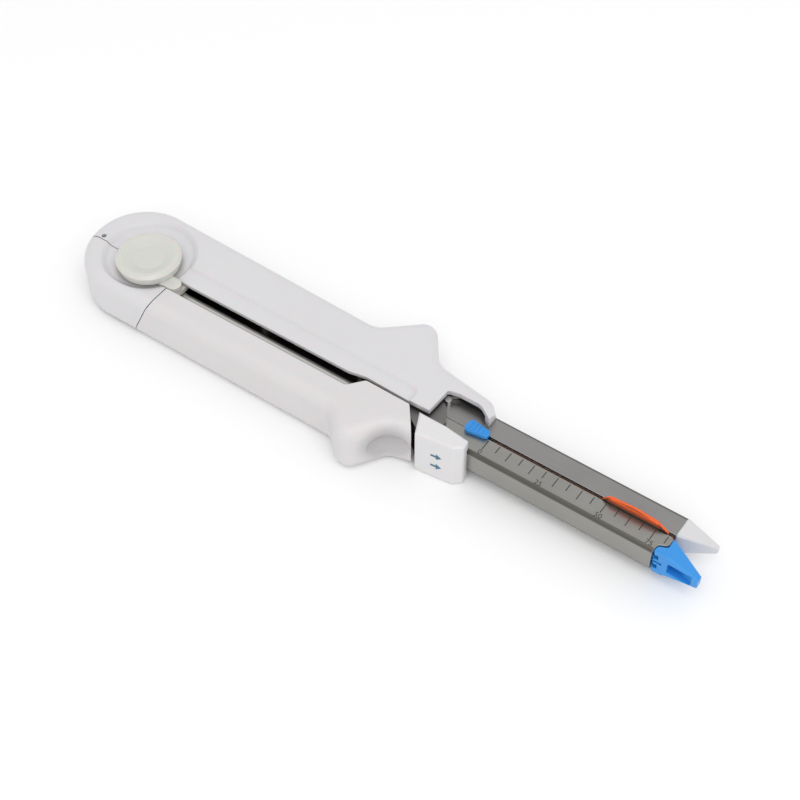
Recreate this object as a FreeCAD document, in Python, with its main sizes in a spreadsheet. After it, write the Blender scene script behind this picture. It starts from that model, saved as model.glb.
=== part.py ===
import FreeCAD, Part
import Sketcher
import math
import os
import re

# Linear cutter stapler, 75 mm, lying on its side.
# Inside each sub-part x runs from the scale's zero mark towards the jaw tips, y from the gap
# between the jaws towards the anvil half, and z is the height over the middle plane of the jaws.
# All sub-parts are then moved together, so that the origin lies under the middle of the whole
# stapler, in the plane that it rests on.

Vector = FreeCAD.Vector

SIZES = {
    # Handle
    "half_thick": 11.0,          # half the thickness of the handle
    "wall": 2.2,                 # wall of the moulded shells
    "edge_round": 5.0,           # rounding along the outer edges of the shells
    "seam_gap": 0.35,            # seam between two covers
    "rear_reach": 190.5,         # scale zero to the rear end
    "rear_round": 23.0,          # radius of the round rear end
    "upper_side": 23.3,          # side of the anvil shell at the rear
    "lower_side": -24.5,         # side of the lever and of the rear housing
    "slot_top": -6.2,            # edge of the anvil shell along the firing slot
    "slot_foot": -12.9,          # edge of the lever along the firing slot
    "slot_rear": "=20 - rear_reach",  # rear end of the firing slot
    "dish_x": "=28.5 - rear_reach",
    "dish_y": -2.0,
    "dish_radius": 19.5,
    "dish_depth": 1.2,
    "rim_slope": -60.0,          # slope of the rims of the dish and the track, degrees
    "track_top": 2.2,            # the shallow track beside the slot
    "track_end": -32.0,
    "track_depth": 0.7,
    # Wings
    "wing_x": -47.4,
    "wing_y": 35.25,
    "wing_round": 5.7,
    "wing_front_x": -34.6,
    "wing_front_y": 17.7,
    "wing_rear_x": -65.2,
    "wing_rear_y": 19.5,
    "lever_wing_x": -43.7,
    "lever_wing_y": -35.58,
    "lever_wing_round": 5.8,
    "scoop_x": -27.6,            # middle of the finger scoop in the wing's front flank
    "scoop_y": -26.1,
    "scoop_round": 10.0,
    "scoop_half": 8.2,
    # Anvil shell front
    "shell_front": -3.5,
    "shell_shoulder": -7.5,
    "shell_shoulder_y": 13.6,
    "tooth_x": -24.0,
    "tooth_y": -4.6,
    "notch_y": 6.8,
    "arch_y": 7.9,
    # Steel channels
    "channel_half": 5.86,        # half the width of both channels
    "steel": 1.0,                # sheet thickness
    "bend_round": 1.8,           # outer bend radius
    "jaw_gap": 0.75,             # half the gap between the closed jaws
    "channel_low": -9.8,         # outer face of the cartridge channel's web
    "channel_high": 10.4,        # outer face of the anvil channel's web
    "jaw_end": 77.0,
    "web_end": 73.2,
    "rail_level": -7.0,          # low side walls of the cartridge channel under the slot
    "rail_front": -57.0,
    "jaw_wall_start": -50.0,
    "channel_rear": "=4.3 - rear_reach",
    "anvil_rear": "=12 - rear_reach",
    # Pins
    "rear_pin_x": "=6.5 - rear_reach",
    "rear_pin_y": -4.6,
    "rear_pin_radius": 1.0,
    "pivot_x": -20.5,
    "pivot_y": -12.0,
    "pivot_radius": 1.25,
    "latch_x": -22.2,
    "latch_y": 5.2,
    "latch_radius": 1.4,
    "rivet_radius": 1.25,
    "pin_depth": 9.6,            # half the length of the pins that end inside the shells
    "anvil_pin_rear": "=32.5 - rear_reach",
    "anvil_pin_middle": -110.0,
    "anvil_pin_front": -63.0,
    "anvil_pin_y": 5.0,
    "lever_rivet_rear": -52.0,
    "lever_rivet_rear_y": -16.5,
    "lever_rivet_front": -38.5,
    "lever_rivet_front_y": -13.5,
    "screw_rear": "=12.5 - rear_reach",
    "screw_front": "=19.5 - rear_reach",
    "cover_rivet_x": -13.5,
    "cover_rivet_z": 3.0,
    "slide_pin_back": 7.0,       # slide pin behind the block's front
    "slide_pin_y": -6.6,
    "slide_pin_radius": 0.8,
    "running_gap": 0.05,         # radial clearance of a turning pin
    "hook_gap": 0.2,             # hook around the latch pin
    # Hook plates
    "plate_inner": 6.1,
    "plate_thick": 1.5,
    "hub_radius": 2.4,
    # Lever
    "lever_rear": "=41.3 - rear_reach",
    "rear_slant": 0.48,          # slant of the seam behind the lever
    "lever_front": -24.0,
    "lever_front_y": -16.7,
    "flap_front": -31.6,
    "flap_rear": -51.5,
    "flap_y": -6.7,
    "slot_front": -56.5,
    # Front cover
    "cover_rear": -26.6,
    "cover_top": -7.6,
    "cover_foot_x": -22.2,
    "cover_foot": -17.0,
    "cover_nose_x": -6.8,
    "cover_nose_y": -15.2,
    "cover_front": -3.4,
    # Firing slide
    "arm_nose": "=50.5 - rear_reach",
    "arm_rear": "=22.5 - rear_reach",
    "arm_gap": 0.35,             # arm to the edges of the slot
    "arm_plate_low": 6.2,
    "arm_plate_high": 8.4,
    "arm_plate_y": -3.3,
    "block_half": 4.6,
    "block_rear": "=24.5 - rear_reach",
    "block_front": "=48.5 - rear_reach",
    "block_top": -3.0,
    "knob_x": "=32.2 - rear_reach",
    "knob_y": -6.2,
    "knob_radius": 13.3,
    "knob_top": 16.2,
    "knob_lift": 0.4,            # underside of the knob over the handle
    "knob_boss": 4.0,
    "knob_fit": 0.1,             # radial clearance of the knob on its boss
    "bar_root": 14.0,            # bars and knife reach this far into the block
    "bar_low": -8.3,
    "bar_high": -5.4,
    "bar_inner": 1.55,
    "bar_thick": 2.0,
    "bar_tip": -5.0,
    "bar_gap": 0.2,
    "knife_half": 0.25,
    "knife_low": -7.5,
    "knife_back": -4.0,
    "knife_slot_half": 0.55,
    "knife_tip": -4.0,
    "knife_top": 4.1,
    # Reload
    "reload_half": 4.7,
    "reload_rear": -12.0,
    "reload_low": -8.6,
    "slot_end": 77.3,
    "nose_tip": 91.6,
    "staple_count": 15,
    "staple_pitch": 5.0,
    "first_staple": 1.0,
    "row_inner": 1.75,
    "row_outer": 3.35,
    "crown_length": 4.0,
    "pocket_width": 0.75,
    "driver_width": 0.6,
    "driver_height": 0.9,
    "wire": 0.24,
    "leg_height": 3.0,
    "tab_rear": -10.4,
    "tab_front": -0.8,
    "tab_half": 3.1,
    "tab_thick": 1.5,
    # Anvil plate and tip
    "plate_half": 4.76,
    "plate_top": 2.65,
    "cup_depth": 0.5,
    "anvil_tip_end": 90.8,
    # Retaining cap
    "cap_half_thick": 0.45,
    "cap_rear": 0.5,
    "cap_front": 76.8,
    "cap_side": 4.9,
    "cap_bridge": 1.8,           # strip that joins the cap's two legs at the front
    "cap_slot_half": 0.9,
    "grip_rear": 46.8,
    "grip_front": 74.0,
    "grip_reach": 9.6,
    "grip_half_thick": 0.7,
    # Guide
    "guide_rear": -52.0,
    "guide_front": -13.0,
}

doc = FreeCAD.newDocument("linear_cutter")
sheet = doc.addObject("Spreadsheet::Sheet", "Sizes")
for row, (alias, number) in enumerate(SIZES.items(), 1):
    sheet.set("A%d" % row, alias)
    sheet.set("B%d" % row, str(number))
    sheet.setAlias("B%d" % row, alias)
doc.recompute()

CENTRE_SHIFT = "(rear_reach - nose_tip) / 2"
CHANNEL_IN = "channel_half - steel"
PLATE_OUT = "plate_inner + plate_thick"
INNER_HALF = "half_thick - wall"

parts = []


def cells(text):
    """Write an expression with the sheet's name before each of its aliases."""
    def named(found):
        word = found.group()
        return "Sizes." + word if word in SIZES else word
    return re.sub(r"[a-z][a-z_]+", named, str(text))


def value(text):
    """The present value of an expression, in millimetres."""
    return float(sheet.evalExpression(cells(text)))


def place(thing, x="0", y="0", z="0"):
    """Place a sub-part in the common frame, at x, y, z of the stapler's own axes."""
    thing.setExpression("Placement.Base.x", cells("%s + %s" % (CENTRE_SHIFT, x)))
    thing.setExpression("Placement.Base.y", cells(y))
    thing.setExpression("Placement.Base.z", cells("half_thick + %s" % z))


def new_body(name, x="0", y="0", z="0"):
    """Start a sub-part that is made of sketches and features."""
    body = doc.addObject("PartDesign::Body", name)
    body.Label = name
    place(body, x, y, z)
    parts.append(body)
    return body


def new_sketch(body, name, plane="XY_Plane", level="0"):
    """Start a sketch on one of the body's own planes, raised to a level along its normal."""
    sketch = body.newObject("Sketcher::SketchObject", body.Name + "_" + name)
    base = [item for item in body.Origin.OriginFeatures if item.Role == plane][0]
    sketch.AttachmentSupport = [(base, "")]
    sketch.MapMode = "FlatFace"
    sketch.setExpression("AttachmentOffset.Base.z", cells(level))
    return sketch


def bind(sketch, kind, where, point, text):
    """Tie one coordinate of a point to an expression of the sheet."""
    number = sketch.addConstraint(Sketcher.Constraint(kind, -1, 1, where, point, value(text)))
    sketch.setExpression("Constraints[%d]" % number, cells(text))


def outline(sketch, corners):
    """Draw a closed outline. Each corner is x, y and, where it is rounded, a radius."""
    points = [Vector(value(c[0]), value(c[1]), 0) for c in corners]
    count = len(points)
    starts, ends, arcs = [], [], []
    for i, corner in enumerate(corners):
        here, before, after = points[i], points[i - 1], points[(i + 1) % count]
        if len(corner) < 3:
            starts.append(here)
            ends.append(here)
            arcs.append(None)
            continue
        radius = value(corner[2])
        back = (before - here).normalize()
        ahead = (after - here).normalize()
        half = back.getAngle(ahead) / 2
        reach = radius / math.tan(half)
        centre = here + (back + ahead).normalize() * (radius / math.sin(half))
        starts.append(here + back * reach)
        ends.append(here + ahead * reach)
        left_turn = back.cross(ahead).z < 0
        arcs.append((centre, radius, left_turn))
    lines = []
    for i in range(count):
        line = Part.LineSegment(ends[i], starts[(i + 1) % count])
        lines.append(sketch.addGeometry(line))
    for i, corner in enumerate(corners):
        before, after = lines[i - 1], lines[i]
        if arcs[i] is None:
            sketch.addConstraint(Sketcher.Constraint("Coincident", before, 2, after, 1))
            bind(sketch, "DistanceX", after, 1, corner[0])
            bind(sketch, "DistanceY", after, 1, corner[1])
            continue
        centre, radius, left_turn = arcs[i]
        first = starts[i] - centre
        last = ends[i] - centre
        if not left_turn:
            first, last = last, first
        low = math.atan2(first.y, first.x)
        high = math.atan2(last.y, last.x)
        circle = Part.Circle(centre, Vector(0, 0, 1), radius)
        arc = sketch.addGeometry(Part.ArcOfCircle(circle, low, high))
        enter, leave = (1, 2) if left_turn else (2, 1)
        sketch.addConstraint(Sketcher.Constraint("Tangent", before, 2, arc, enter))
        sketch.addConstraint(Sketcher.Constraint("Tangent", arc, leave, after, 1))
        size = sketch.addConstraint(Sketcher.Constraint("Radius", arc, radius))
        sketch.setExpression("Constraints[%d]" % size, cells(corner[2]))
        tip = sketch.addGeometry(Part.Point(points[i]), True)
        sketch.addConstraint(Sketcher.Constraint("PointOnObject", tip, 1, before))
        sketch.addConstraint(Sketcher.Constraint("PointOnObject", tip, 1, after))
        bind(sketch, "DistanceX", tip, 1, corner[0])
        bind(sketch, "DistanceY", tip, 1, corner[1])


def rectangle(sketch, left, right, low, high):
    """Draw an upright rectangle."""
    outline(sketch, [(left, low), (right, low), (right, high), (left, high)])


def ring(sketch, x, y, radius):
    """Draw a circle."""
    centre = Vector(value(x), value(y), 0)
    number = sketch.addGeometry(Part.Circle(centre, Vector(0, 0, 1), value(radius)))
    size = sketch.addConstraint(Sketcher.Constraint("Radius", number, value(radius)))
    sketch.setExpression("Constraints[%d]" % size, cells(radius))
    bind(sketch, "DistanceX", number, 3, x)
    bind(sketch, "DistanceY", number, 3, y)


def solid_volume(body):
    doc.recompute()
    return body.Shape.Volume


def feature(body, kind, sketch, length, name, both_ways, slope=None):
    """Add a pad or a pocket, if wanted with sloping walls, and make sure that it does something."""
    before = solid_volume(body) if body.Tip else 0.0
    item = body.newObject("PartDesign::" + kind, body.Name + "_" + name)
    item.Profile = sketch
    item.SideType = "Symmetric" if both_ways else "One side"
    item.setExpression("Length", cells(length))
    if slope:
        item.setExpression("TaperAngle", cells(slope))
    after = solid_volume(body)
    if abs(after - before) < 1e-4:
        raise RuntimeError("%s does nothing" % item.Name)
    return item


def pad(body, name, corners, length):
    """A plate with this outline, as far above the middle plane as below it."""
    sketch = new_sketch(body, name + "_outline")
    outline(sketch, corners)
    return feature(body, "Pad", sketch, length, name, True)


def pocket(body, name, corners, length):
    """A cut with this outline, as far above the middle plane as below it."""
    sketch = new_sketch(body, name + "_outline")
    outline(sketch, corners)
    return feature(body, "Pocket", sketch, length, name, True)


def layer(body, name, corners, low, high):
    """A plate with this outline between two heights."""
    sketch = new_sketch(body, name + "_outline", level=low)
    outline(sketch, corners)
    return feature(body, "Pad", sketch, "(%s) - (%s)" % (high, low), name, False)


def layer_cut(body, name, corners, low, high):
    """A cut with this outline between two heights."""
    sketch = new_sketch(body, name + "_outline", level=high)
    outline(sketch, corners)
    return feature(body, "Pocket", sketch, "(%s) - (%s)" % (high, low), name, False)


def recess(body, name, draw, depth):
    """A shallow recess with sloping rims in both faces of the handle."""
    for side, turn in (("upper", 0), ("lower", 180)):
        sketch = new_sketch(body, name + "_outline_" + side)
        sketch.setExpression("AttachmentOffset.Base.z", None)
        sketch.AttachmentOffset = FreeCAD.Placement(Vector(), FreeCAD.Rotation(Vector(1, 0, 0), turn))
        level = "half_thick" if turn == 0 else "-half_thick"
        sketch.setExpression("AttachmentOffset.Base.z", cells(level))
        draw(sketch, "1" if turn == 0 else "-1")
        feature(body, "Pocket", sketch, depth, name + "_" + side, False, "rim_slope")


def bores(body, name, places, radius, length):
    """Round holes across the stapler, through the middle plane."""
    sketch = new_sketch(body, name + "_outline")
    for x, y in places:
        ring(sketch, x, y, radius)
    return feature(body, "Pocket", sketch, length, name, True)


def bosses(body, name, places, radius, low, high):
    """Round bosses between two heights, the same on both sides of the middle plane."""
    for side, start in (("upper", low), ("lower", "-(%s)" % high)):
        sketch = new_sketch(body, name + "_" + side, level=start)
        for x, y in places:
            ring(sketch, x, y, radius)
        feature(body, "Pad", sketch, "(%s) - (%s)" % (high, low), name + "_" + side + "_pad", False)


def dress(body, kind, name, chosen, size):
    """Fillet or chamfer the edges that the test chooses."""
    doc.recompute()
    base = body.Tip
    names = []
    for number, edge in enumerate(base.Shape.Edges, 1):
        middle = edge.valueAt((edge.FirstParameter + edge.LastParameter) / 2)
        if chosen(edge, middle):
            names.append("Edge%d" % number)
    if not names:
        raise RuntimeError("no edges for %s" % name)
    item = body.newObject("PartDesign::" + kind, body.Name + "_" + name)
    item.Base = (base, names)
    item.setExpression("Radius" if kind == "Fillet" else "Size", cells(size))
    doc.recompute()
    return item


def flat_at(edge, height):
    """True for an edge that lies wholly at this height above or below the middle plane."""
    ends = [v.Point.z for v in edge.Vertexes]
    return all(abs(abs(z) - height) < 1e-4 for z in ends) and max(ends) - min(ends) < 1e-4


def pin(name, x, y, radius, half_length):
    """A round pin across the stapler."""
    item = doc.addObject("Part::Cylinder", name)
    item.setExpression("Radius", cells(radius))
    item.setExpression("Height", cells("2 * (%s)" % half_length))
    place(item, x, y, "-(%s)" % half_length)
    return item


def post(name, x, z, radius, low, high):
    """A round rivet or screw that stands along y, between two levels."""
    item = doc.addObject("Part::Cylinder", name)
    item.setExpression("Radius", cells(radius))
    item.setExpression("Height", cells("(%s) - (%s)" % (high, low)))
    place(item, x, low, z)
    item.Placement.Rotation = FreeCAD.Rotation(Vector(1, 0, 0), -90)
    return item


def keep(item, name):
    item.Label = name
    parts.append(item)
    return item


def group(name, items):
    """Equal fasteners in one node."""
    item = doc.addObject("Part::Compound", name)
    item.Links = items
    return keep(item, name)


# Handle outline behind the wings, common to the anvil shell and the rear housing
REAR_UPPER = ("-rear_reach", "upper_side", "rear_round")
REAR_LOWER = ("-rear_reach", "lower_side", "rear_round")


def draw_dish(sketch, side):
    """The round recess under the knob, common to the anvil shell and the rear housing."""
    ring(sketch, "dish_x", "%s * dish_y" % side, "dish_radius")


def build_anvil_shell():
    """White moulded half of the handle: a hollow shell, open towards the lever."""
    body = new_body("anvil_shell")
    pad(body, "hull", [
        ("shell_front", "tooth_y"),
        ("shell_front", "shell_shoulder_y - 4.2"),
        ("shell_shoulder", "shell_shoulder_y", "edge_round + 0.4"),
        ("wing_front_x", "wing_front_y", "10"),
        ("wing_x", "wing_y", "wing_round"),
        ("wing_rear_x", "wing_rear_y", "8"),
        REAR_UPPER,
        REAR_LOWER,
        ("lever_rear + 29", "lower_side"),
        ("lever_rear + 39", "slot_top"),
        ("slot_front - 3.5", "slot_top", "4"),
        ("slot_front + 3.5", "tooth_y - 0.2", "4"),
        ("flap_front", "tooth_y - 0.8", "3"),
    ], "2 * half_thick")
    half = value("half_thick")
    start = value("-rear_reach + 4")
    foot = value("lever_rear + 28.5")
    dress(body, "Fillet", "rim", lambda edge, m:
          flat_at(edge, half) and (m.y > 8 or m.x < start or (m.y < -14 and m.x < foot)),
          "edge_round")
    pocket(body, "parting", [
        ("-rear_reach - 5", "slot_top"),
        ("lever_rear + 49", "slot_top"),
        ("lever_rear + 49", "lower_side - 5"),
        ("-rear_reach - 5", "lower_side - 5"),
    ], "2 * half_thick + 2")
    pocket(body, "arch", [
        ("tooth_x", "tooth_y - 5"),
        ("tooth_x + 0.6", "notch_y", "0.8"),
        ("tooth_x + 4.6", "arch_y", "3"),
        ("-9.6", "arch_y", "5"),
        ("shell_front - 0.01", "4.0"),
        ("shell_front + 4", "4.0"),
        ("shell_front + 4", "tooth_y - 5"),
    ], "2 * half_thick + 2")
    pocket(body, "cavity", [
        ("slot_rear + 10.5", "slot_top - 20"),
        ("shell_front - 2.7", "slot_top - 20"),
        ("shell_front - 2.7", "channel_high + 0.1"),
        ("shell_shoulder - 1.5", "shell_shoulder_y - wall"),
        ("wing_front_x - 1.0", "wing_front_y - wall", "8"),
        ("wing_x + 1.8", "wing_y - 7.6", "1"),
        ("wing_x - 4.2", "wing_y - 7.6", "1"),
        ("wing_rear_x + 0.8", "wing_rear_y - wall", "8"),
        ("-rear_reach + wall", "upper_side - wall", "rear_round - wall"),
        ("-rear_reach + wall", "slot_top - 20"),
    ], "2 * (%s)" % INNER_HALF)
    pocket(body, "channel_way", [
        ("shell_front - 5", "slot_top"),
        ("shell_front + 5", "slot_top"),
        ("shell_front + 5", "channel_high + 0.1"),
        ("shell_front - 5", "channel_high + 0.1"),
    ], "2 * (channel_half + 0.1)")
    recess(body, "track", lambda sketch, side: outline(sketch, [
        ("dish_x", "%s * (slot_top - 4)" % side),
        ("track_end", "%s * (slot_top - 4)" % side),
        ("track_end", "%s * track_top" % side, "(track_top - slot_top) / 2"),
        ("dish_x", "%s * track_top" % side),
    ]), "track_depth")
    recess(body, "dish", draw_dish, "dish_depth")
    bosses(body, "channel_boss", ANVIL_PINS, "rivet_radius + 1.6", "channel_half", INNER_HALF)
    bores(body, "channel_pin_hole", ANVIL_PINS, "rivet_radius", "2 * pin_depth")
    bosses(body, "rear_boss", [("rear_pin_x", "rear_pin_y")], "rear_pin_radius + 1.6",
           "channel_half + 0.2", INNER_HALF)
    bores(body, "rear_pin_hole", [("rear_pin_x", "rear_pin_y")], "rear_pin_radius",
          "2 * half_thick + 1")


ANVIL_PINS = [
    ("anvil_pin_rear", "anvil_pin_y"),
    ("anvil_pin_middle", "anvil_pin_y"),
    ("anvil_pin_front", "anvil_pin_y"),
]


def build_anvil_channel():
    """Folded steel channel that carries the anvil through the handle to the jaw."""
    body = new_body("anvil_channel")
    pad(body, "sides", [
        ("anvil_rear", "-jaw_gap + 0.15"),
        ("tab_rear - 0.6", "-jaw_gap + 0.15"),
        ("tab_rear - 0.6", "jaw_gap"),
        ("jaw_end", "jaw_gap"),
        ("jaw_end", "channel_high"),
        ("anvil_rear", "channel_high"),
    ], "2 * channel_half")
    half = value("channel_half")
    top = value("channel_high")
    dress(body, "Fillet", "bend", lambda edge, m: flat_at(edge, half) and abs(m.y - top) < 1e-4,
          "bend_round")
    pocket(body, "inside", [
        ("anvil_rear - 5", "jaw_gap - 5"),
        ("jaw_end + 5", "jaw_gap - 5"),
        ("jaw_end + 5", "channel_high - steel"),
        ("anvil_rear - 5", "channel_high - steel"),
    ], "2 * (%s)" % CHANNEL_IN)
    bores(body, "pin_hole", ANVIL_PINS, "rivet_radius", "2 * channel_half + 2")
    bores(body, "latch_hole", [("latch_x", "latch_y")], "latch_radius", "2 * channel_half + 2")


def row_slots(sketch, length, width, columns):
    """One staple place of each of the four rows; the outer rows stand half a pitch further."""
    for row, offset in (("row_inner", "0"), ("row_outer", "staple_pitch / 2")):
        for sign in ("", "-"):
            for column in columns:
                middle = "first_staple + %s + %s" % (offset, column)
                rectangle(sketch,
                          "%s - (%s) / 2" % (middle, length), "%s + (%s) / 2" % (middle, length),
                          "%s%s - (%s) / 2" % (sign, row, width),
                          "%s%s + (%s) / 2" % (sign, row, width))


def repeat_rows(body, name, first):
    """Repeat the staple places along the jaw."""
    pattern = body.newObject("PartDesign::LinearPattern", body.Name + "_" + name)
    pattern.Originals = [first]
    pattern.Direction = (first.Profile[0], ["H_Axis"])
    pattern.setExpression("Length", cells("(staple_count - 1) * staple_pitch"))
    pattern.setExpression("Occurrences", cells("staple_count"))
    body.Tip = pattern
    doc.recompute()


def build_anvil_plate():
    """Steel anvil with two forming cups for every staple and the slot for the knife."""
    body = new_body("anvil_plate")
    pad(body, "plate", [
        ("cap_rear - 2.5", "jaw_gap"),
        ("jaw_end", "jaw_gap"),
        ("jaw_end", "plate_top"),
        ("cap_rear - 2.5", "plate_top"),
    ], "2 * plate_half")
    pocket(body, "knife_slot", [
        ("cap_rear - 6", "jaw_gap - 1"),
        ("slot_end - 0.8", "jaw_gap - 1"),
        ("slot_end - 0.8", "plate_top + 1"),
        ("cap_rear - 6", "plate_top + 1"),
    ], "2 * knife_slot_half")
    sketch = new_sketch(body, "cup_outline", "XZ_Plane", "-jaw_gap")
    row_slots(sketch, "crown_length / 2 - 0.3", "pocket_width",
              ("crown_length / 4", "-crown_length / 4"))
    cups = feature(body, "Pocket", sketch, "2 * cup_depth", "cups", True)
    repeat_rows(body, "cup_rows", cups)


def build_anvil_tip():
    """White moulded tip of the anvil jaw, a wedge with a shank inside the channel."""
    body = new_body("anvil_tip")
    tip_sections(body, "jaw_end", ("jaw_gap + 0.2", "channel_high", "channel_half", "0.9"),
                 "anvil_tip_end", ("7.0", "8.6", "1.7", "0.4"))
    pad(body, "shank", [
        ("jaw_end - 9", "knife_top + 0.4"),
        ("jaw_end + 0.5", "knife_top + 0.4"),
        ("jaw_end + 0.5", "channel_high - steel - 0.1"),
        ("jaw_end - 9", "channel_high - steel - 0.1"),
    ], "2 * plate_half")


def cut_corners(low, high, half, cut):
    """A section with its four corners cut off at 45 degrees."""
    return [
        ("(%s) + (%s)" % (low, cut), "-(%s)" % half),
        ("(%s) - (%s)" % (high, cut), "-(%s)" % half),
        (high, "(%s) - (%s)" % (cut, half)),
        (high, "(%s) - (%s)" % (half, cut)),
        ("(%s) - (%s)" % (high, cut), half),
        ("(%s) + (%s)" % (low, cut), half),
        (low, "(%s) - (%s)" % (half, cut)),
        (low, "(%s) - (%s)" % (cut, half)),
    ]


def tip_sections(body, base_x, base, end_x, end):
    """A solid drawn from a wide section at one place to a narrow one at the other."""
    sketches = []
    for name, x, (low, high, half, cut) in (("base", base_x, base), ("end", end_x, end)):
        sketch = new_sketch(body, name + "_section", "YZ_Plane", x)
        outline(sketch, cut_corners(low, high, half, cut))
        sketches.append(sketch)
    item = body.newObject("PartDesign::AdditiveLoft", body.Name + "_wedge")
    item.Profile = sketches[0]
    item.Sections = [sketches[1]]
    item.Ruled = True
    doc.recompute()


def build_cartridge_channel():
    """Folded steel channel of the cartridge half, from the rear hook to the jaw's end."""
    body = new_body("cartridge_channel")
    pad(body, "sides", [
        ("channel_rear", "channel_low"),
        ("channel_rear", "rear_pin_y + 2.6", "2.4"),
        ("rear_pin_x + 3", "rear_pin_y + 2.6", "1.5"),
        ("rear_pin_x + 5.5", "rail_level", "1.5"),
        ("rail_front", "rail_level", "3"),
        ("jaw_wall_start", "-jaw_gap", "3"),
        ("jaw_end", "-jaw_gap", "1.4"),
        ("jaw_end", "-4.7", "1.6"),
        ("web_end + 0.5", "-6.4", "1.2"),
        ("web_end", "channel_low"),
    ], "2 * channel_half")
    half = value("channel_half")
    low = value("channel_low")
    dress(body, "Fillet", "bend", lambda edge, m: flat_at(edge, half) and abs(m.y - low) < 1e-4,
          "bend_round")
    pocket(body, "inside", [
        ("channel_rear - 5", "channel_low + steel"),
        ("jaw_end + 5", "channel_low + steel"),
        ("jaw_end + 5", "jaw_gap + 9"),
        ("channel_rear - 5", "jaw_gap + 9"),
    ], "2 * (%s)" % CHANNEL_IN)
    slant = math.sqrt(0.5)
    seat = "(rear_pin_radius + running_gap) * %.6f" % slant
    pocket(body, "hook_mouth", [
        ("rear_pin_x - %s" % seat, "rear_pin_y - %s" % seat),
        ("rear_pin_x + %s" % seat, "rear_pin_y + %s" % seat),
        ("rear_pin_x + %s - 6" % seat, "rear_pin_y + %s + 6" % seat),
        ("rear_pin_x - %s - 6" % seat, "rear_pin_y - %s + 6" % seat),
    ], "2 * channel_half + 2")
    bores(body, "pin_seat", [("rear_pin_x", "rear_pin_y")], "rear_pin_radius + running_gap",
          "2 * channel_half + 2")
    web_holes(body, "screw_holes", HOUSING_SCREWS, "channel_low", "channel_low + steel")
    web_holes(body, "rivet_holes", COVER_RIVETS, "channel_low", "channel_low + steel")


HOUSING_SCREWS = [("screw_rear", "0"), ("screw_front", "0")]
COVER_RIVETS = [("cover_rivet_x", "cover_rivet_z"), ("cover_rivet_x", "-cover_rivet_z")]


def web_holes(body, name, places, low, high):
    """Round holes along y for the rivets and screws that stand on the web."""
    sketch = new_sketch(body, name + "_outline", "XZ_Plane", "-((%s) + (%s)) / 2" % (low, high))
    for x, z in places:
        ring(sketch, x, z, "rivet_radius")
    feature(body, "Pocket", sketch, "(%s) - (%s) + 0.4" % (high, low), name, True)


def seam(grow):
    """Slanted rear end of the lever, seen from its side; the housing stays behind it by a gap."""
    edge = "half_thick + 0.5 + %s" % grow
    return [
        ("lever_rear + 49", "-(%s)" % edge),
        ("lever_rear - rear_slant * (%s) - %s" % (edge, grow), "-(%s)" % edge, "3 + %s" % grow),
        ("lever_rear + rear_slant * (%s) - %s" % (edge, grow), edge),
        ("lever_rear + 49", edge),
    ]


def build_rear_housing():
    """White moulded rear cover, fixed to the cartridge channel behind the lever."""
    body = new_body("rear_housing")
    pad(body, "hull", [
        ("lever_rear + 19", "lower_side"),
        REAR_LOWER,
        REAR_UPPER,
        ("lever_rear + 19", "upper_side"),
    ], "2 * half_thick")
    half = value("half_thick")
    front = value("lever_rear + 18")
    dress(body, "Fillet", "rim", lambda edge, m: flat_at(edge, half) and m.x < front, "edge_round")
    pocket(body, "parting", [
        ("-rear_reach - 2", "slot_top - 1.2"),
        ("rear_pin_x", "slot_top - seam_gap"),
        ("slot_rear", "slot_top - seam_gap"),
        ("slot_rear", "slot_foot", "(slot_top - slot_foot) / 2 - 0.3"),
        ("lever_rear + 29", "slot_foot"),
        ("lever_rear + 29", "upper_side + 2"),
        ("-rear_reach - 2", "upper_side + 2"),
    ], "2 * half_thick + 2")
    end = new_sketch(body, "seam_outline", "XZ_Plane")
    outline(end, seam("seam_gap"))
    feature(body, "Pocket", end, "80", "seam_cut", True)
    pocket(body, "cavity", [
        ("lever_rear + 49", "lower_side + wall"),
        ("-rear_reach + wall", "lower_side + wall", "rear_round - wall"),
        ("-rear_reach + wall", "upper_side"),
        ("lever_rear + 49", "upper_side"),
    ], "2 * (%s)" % INNER_HALF)
    pad(body, "rib", [
        ("screw_front + 4", "lower_side + wall - 0.5"),
        ("screw_front + 4", "channel_low"),
        ("screw_rear - 4", "channel_low"),
        ("screw_rear - 4", "channel_low - 7.4"),
        ("screw_front - 2", "lower_side + wall - 0.5"),
    ], "2 * 4.0")
    recess(body, "dish", draw_dish, "dish_depth")
    web_holes(body, "screw_holes", HOUSING_SCREWS, "channel_low - 8", "channel_low")


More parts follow.
